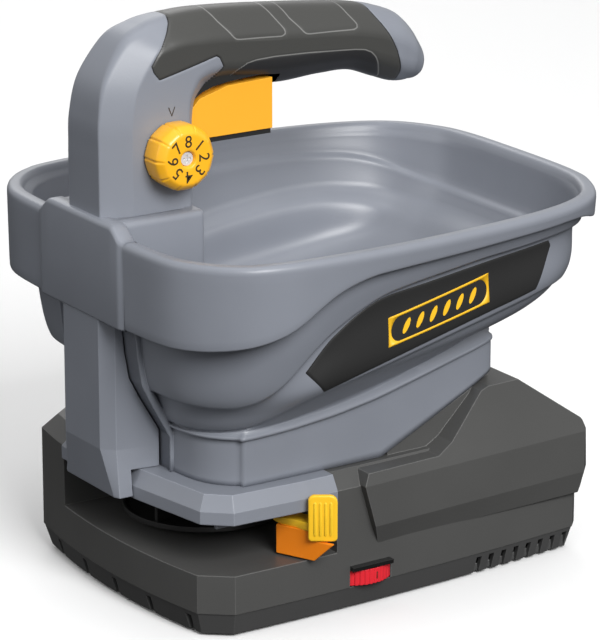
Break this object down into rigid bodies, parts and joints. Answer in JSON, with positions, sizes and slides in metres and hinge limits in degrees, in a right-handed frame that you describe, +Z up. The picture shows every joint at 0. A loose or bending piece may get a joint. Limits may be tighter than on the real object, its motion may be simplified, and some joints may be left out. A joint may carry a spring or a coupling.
{
  "type": "garden spreader",
  "caption": "Battery hand-held garden spreader: open hopper with trigger handle, metering knob, impeller base, speed thumbwheel and side deflector.",
  "frame": {"origin": "bottom centre of the overall box, on the floor under the rubber feet", "axes": "+X towards the rear (battery end), -X towards the handle column and impeller, -Y the side with the metering knob and thumbwheel, +Z up"},
  "size_m": [0.2685, 0.2372, 0.2947],
  "materials": {
    "housing_dark": "fine-textured dark grey plastic",
    "tray_dark": "fine-textured dark grey plastic",
    "foot_rubber": "matte",
    "screw_steel": "zinc plated",
    "bay_black": "matte",
    "pack_black": "fine textured",
    "latch_yellow": "satin",
    "terminal_copper": "bright",
    "board_green": "solder mask",
    "motor_steel": "satin",
    "shaft_steel": "ground",
    "impeller_black": "satin",
    "plate_grey": "fine textured",
    "linkage_black": "satin",
    "spring_steel": "bright",
    "hopper_grey": "fine-textured bluish grey",
    "panel_dark": "satin printed film",
    "column_grey": "fine-textured bluish grey",
    "handle_grey": "fine-textured bluish grey",
    "grip_rubber": "matte soft grip",
    "inset_rubber": "matte soft grip",
    "trigger_orange": "satin",
    "pad_black": "matte",
    "switch_black": "satin",
    "knob_yellow": "satin",
    "screw_chrome": "polished",
    "dial_red": "satin",
    "hood_gloss": "gloss",
    "flap_orange": "satin",
    "lever_yellow": "satin"
  },
  "bodies": {
    "frame": {"base_tray": "tray_dark", "rubber_feet": "foot_rubber", "base_screws": "screw_steel", "base_housing": "housing_dark", "battery_bay": "bay_black", "terminal_block": "terminal_copper", "control_board": "board_green", "motor": "motor_steel", "motor_screws": "screw_steel", "discharge_plate": "plate_grey", "crank_pin": "shaft_steel", "rod_spring": "spring_steel", "hopper": "hopper_grey", "label_panel_right": "panel_dark", "label_panel_left": "panel_dark", "front_column": "column_grey", "handle_left_shell": "handle_grey", "handle_right_shell": "handle_grey", "grip_overmold": "grip_rubber", "grip_inset": "inset_rubber", "handle_screws": "screw_steel", "trigger_pin": "shaft_steel", "trigger_spring": "spring_steel", "trigger_switch": "switch_black", "speed_control": "switch_black", "dial_hood": "hood_gloss"},
    "battery": {"battery_pack": "pack_black"},
    "latch": {"battery_latch": "latch_yellow"},
    "rotor": {"drive_shaft": "shaft_steel", "impeller": "impeller_black", "impeller_nut": "screw_steel", "agitator": "linkage_black"},
    "trigger": {"trigger": "trigger_orange", "trigger_pad": "pad_black"},
    "rod": {"pull_rod": "linkage_black"},
    "crank": {"gate_crank": "linkage_black"},
    "gate": {"flow_gate": "linkage_black"},
    "knob": {"flow_knob": "knob_yellow", "knob_screw": "screw_chrome", "flow_cam": "linkage_black"},
    "dial": {"speed_dial": "dial_red"},
    "deflector": {"deflector_flap": "flap_orange", "deflector_lever": "lever_yellow"}
  },
  "joints": [
    {"name": "battery_slide", "type": "slide", "parent": "frame", "child": "battery", "axis": [1, 0, 0], "range_m": [0, 0.11]},
    {"name": "battery_latch_press", "type": "slide", "parent": "battery", "child": "latch", "axis": [-1, 0, 0], "range_m": [0, 0.003], "stiffness_N_per_m": 600, "springref_m": -0.002},
    {"name": "impeller_spin", "type": "hinge", "parent": "frame", "child": "rotor", "pos_m": [-0.0631, 0, 0.04], "axis": [0, 0, 1], "continuous": true},
    {"name": "trigger_pull", "type": "hinge", "parent": "frame", "child": "trigger", "pos_m": [-0.07, 0, 0.262], "axis": [0, -1, 0], "range_deg": [0, 12], "stiffness_Nm_per_rad": 0.6, "springref_deg": -11.46, "deforming": ["trigger_spring"]},
    {"name": "rod_slide", "type": "slide", "parent": "frame", "child": "rod", "axis": [0, 0, -1], "range_m": [0, 0.0063], "deforming": ["rod_spring"]},
    {"name": "crank_turn", "type": "hinge", "parent": "frame", "child": "crank", "pos_m": [-0.091, 0, 0.0945], "axis": [0, -1, 0], "range_deg": [0, 44.5]},
    {"name": "gate_slide", "type": "slide", "parent": "frame", "child": "gate", "axis": [1, 0, 0], "range_m": [0, 0.0106]},
    {"name": "knob_turn", "type": "hinge", "parent": "frame", "child": "knob", "pos_m": [-0.0925, -0.028, 0.229], "axis": [0, 1, 0], "range_deg": [0, 315]},
    {"name": "dial_turn", "type": "hinge", "parent": "frame", "child": "dial", "pos_m": [-0.021, -0.0708, 0.0177], "axis": [0, 0, 1], "range_deg": [0, 270]},
    {"name": "deflector_slide", "type": "slide", "parent": "frame", "child": "deflector", "axis": [-1, 0, 0], "range_m": [0, 0.03]}
  ],
  "couplings": [
    {"joint": "rod_slide", "follows": "trigger_pull", "m_per_rad": 0.03},
    {"joint": "crank_turn", "follows": "trigger_pull", "ratio": 3.6875},
    {"joint": "gate_slide", "follows": "trigger_pull", "m_per_rad": 0.0501}
  ]
}
